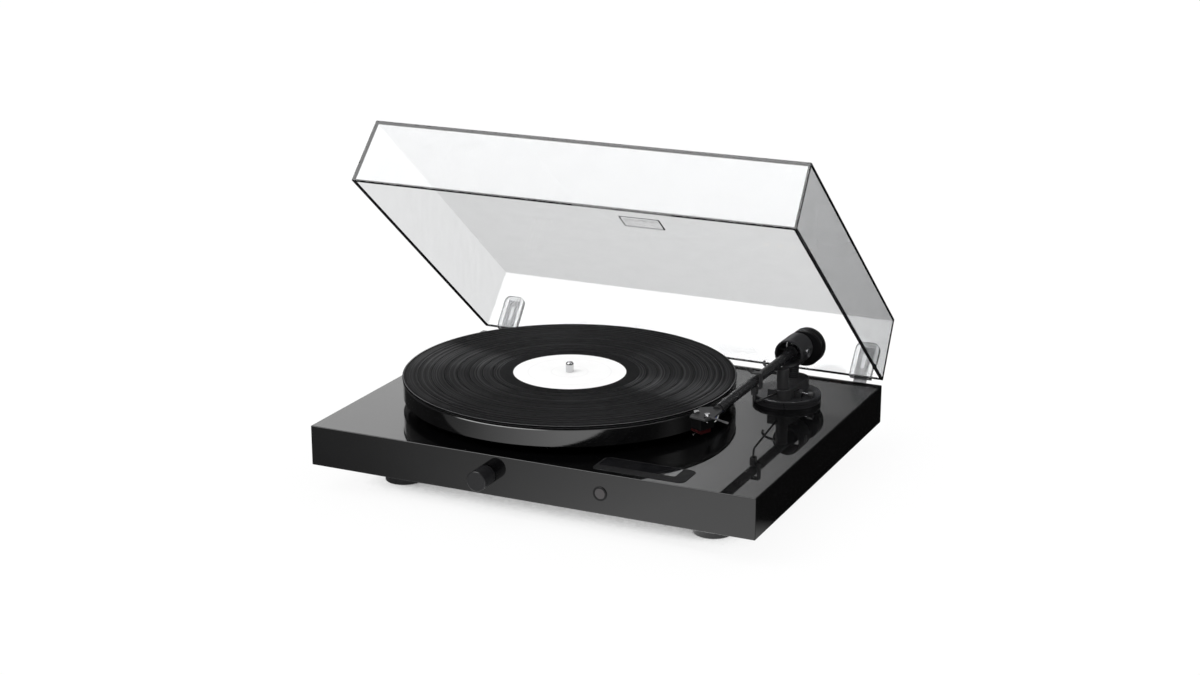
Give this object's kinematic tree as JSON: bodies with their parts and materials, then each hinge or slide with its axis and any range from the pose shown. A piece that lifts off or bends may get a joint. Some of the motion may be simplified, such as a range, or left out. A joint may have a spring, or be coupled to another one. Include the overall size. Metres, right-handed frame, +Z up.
{
  "type": "record player",
  "caption": "Record player with a gloss plinth, belt-driven platter, straight tonearm, front volume knob and a hinged clear dust cover standing open",
  "frame": {"origin": "centre of the bounding box's footprint, on the plane that the foot pads stand on", "axes": "+X to the right of a person facing the knob, +Y to the back, +Z up"},
  "size_m": [0.415, 0.38, 0.3081],
  "materials": {
    "lacquered_wood": "high-gloss black lacquer",
    "cover_board": "matt black moulded cover",
    "dark_fixings": "blackened steel screws",
    "foot_plastic": "satin black moulded feet",
    "pad_rubber": "soft black rubber",
    "bearing_brass": "turned brass",
    "bright_steel": "ground and polished steel",
    "wheel_plastic": "moulded black plastic",
    "platter_metal": "glossy black coated aluminium",
    "mat_felt": "black felt",
    "vinyl": "grooved glossy black vinyl",
    "label_paper": "plain white paper label",
    "motor_case": "zinc-plated motor case",
    "turned_aluminium": "turned aluminium",
    "black_aluminium": "satin black anodised aluminium",
    "sensor_plastic": "dark infrared window",
    "bezel_plastic": "satin black bezel",
    "tinted_window": "dark tinted acrylic",
    "module_plastic": "unlit display module",
    "board_laminate": "green solder mask",
    "panel_steel": "black painted sheet steel",
    "socket_gold": "gold-plated sockets",
    "post_plastic": "black and red moulded posts",
    "inlet_plastic": "black moulded socket",
    "arm_plastic": "satin black moulding",
    "shell_aluminium": "dark grey anodised aluminium",
    "cartridge_plastic": "black moulded cartridge body",
    "stylus_red": "red moulded stylus holder",
    "cantilever_metal": "bright aluminium cantilever",
    "bright_screws": "bright plated slotted screws",
    "lead_wire": "insulated wire with plated clips",
    "weight_metal": "satin black coated steel",
    "clear_acrylic": "clear polished acrylic",
    "hinge_steel": "plated spring steel"
  },
  "bodies": {
    "plinth": {"plinth": "lacquered_wood", "base_plate": "cover_board", "cover_screws": "dark_fixings", "feet": "foot_plastic", "foot_pads": "pad_rubber", "foot_screws": "dark_fixings", "bearing_housing": "bearing_brass", "deck_screws": "dark_fixings", "drive_belt": "pad_rubber", "motor": "motor_case", "motor_screws": "dark_fixings", "encoder_body": "wheel_plastic", "sensor_ring": "black_aluminium", "sensor_lens": "sensor_plastic", "display_bezel": "bezel_plastic", "display_window": "tinted_window", "display_module": "module_plastic", "main_board": "board_laminate", "board_components": "turned_aluminium", "rear_panel": "panel_steel", "rca_jacks": "socket_gold", "speaker_sockets": "post_plastic", "power_inlet": "inlet_plastic", "arm_base": "arm_plastic", "lift_block": "arm_plastic", "arm_pillar": "black_aluminium", "arm_rest_rod": "bright_steel", "arm_rest_clip": "arm_plastic", "hinge_pins": "bright_steel", "hinge_brackets": "panel_steel", "rear_screws": "dark_fixings"},
    "platter": {"spindle": "bright_steel", "sub_platter": "wheel_plastic", "platter": "platter_metal", "platter_mat": "mat_felt"},
    "record": {"record": "vinyl", "record_labels": "label_paper"},
    "motor_rotor": {"motor_shaft": "bright_steel", "motor_pulley": "turned_aluminium"},
    "encoder_rotor": {"encoder_rotor": "wheel_plastic"},
    "volume_knob": {"volume_knob": "black_aluminium", "encoder_shaft": "bright_steel"},
    "arm_yoke": {"arm_yoke": "black_aluminium", "pivot_screws": "dark_fixings"},
    "tonearm": {"arm_tube": "black_aluminium", "headshell": "shell_aluminium", "finger_lift": "shell_aluminium", "cartridge_body": "cartridge_plastic", "stylus_holder": "stylus_red", "cantilever": "cantilever_metal", "cartridge_screws": "bright_screws", "cartridge_leads": "lead_wire"},
    "counterweight": {"counterweight": "weight_metal"},
    "cue_lever": {"cue_lever": "black_aluminium"},
    "lift_platform": {"lift_platform": "arm_plastic"},
    "lid": {"lid": "clear_acrylic", "lid_badge": "clear_acrylic", "hinge_sleeves": "clear_acrylic", "hinge_tongues": "hinge_steel"}
  },
  "joints": [
    {"name": "lid_hinge", "type": "hinge", "parent": "plinth", "child": "lid", "pos_m": [0, 0.15235, 0.0525], "axis": [-1, 0, 0], "range_deg": [-39.2, 20.8]},
    {"name": "platter_spin", "type": "hinge", "parent": "plinth", "child": "platter", "pos_m": [-0.0348, -0.01005, 0.06], "axis": [0, 0, 1], "continuous": true},
    {"name": "record_lift", "type": "slide", "parent": "platter", "child": "record", "axis": [0, 0, 1], "range_m": [0, 0.03]},
    {"name": "motor_spin", "type": "hinge", "parent": "plinth", "child": "motor_rotor", "pos_m": [-0.11274, 0.03495, 0.06], "axis": [0, 0, 1], "continuous": true},
    {"name": "volume_turn", "type": "hinge", "parent": "plinth", "child": "encoder_rotor", "pos_m": [-0.0348, -0.17115, 0.042], "axis": [0, -1, 0], "continuous": true},
    {"name": "volume_push", "type": "slide", "parent": "encoder_rotor", "child": "volume_knob", "axis": [0, 1, 0], "range_m": [0, 0.0005], "stiffness_N_per_m": 800, "springref_m": -0.001},
    {"name": "arm_swing", "type": "hinge", "parent": "plinth", "child": "arm_yoke", "pos_m": [0.142, 0.08885, 0.1012], "axis": [0, 0, -1], "range_deg": [0, 43]},
    {"name": "arm_tilt", "type": "hinge", "parent": "arm_yoke", "child": "tonearm", "pos_m": [0.142, 0.08885, 0.1012], "axis": [-1, 0, 0], "range_deg": [-0.25, 1.2]},
    {"name": "counterweight_slide", "type": "slide", "parent": "tonearm", "child": "counterweight", "axis": [0, 1, 0], "range_m": [-0.005, 0.005]},
    {"name": "cue_lever_turn", "type": "hinge", "parent": "plinth", "child": "cue_lever", "pos_m": [0.1575, 0.06535, 0.0704], "axis": [0, -1, 0], "range_deg": [0, 40]},
    {"name": "lift_raise", "type": "slide", "parent": "plinth", "child": "lift_platform", "axis": [0, 0, 1], "range_m": [0, 0.0013], "stiffness_N_per_m": 0.01, "springref_m": 2.0513}
  ],
  "couplings": [
    {"joint": "motor_spin", "follows": "platter_spin", "ratio": 7.75},
    {"joint": "lift_raise", "follows": "cue_lever_turn", "m_per_rad": 0.001718}
  ]
}
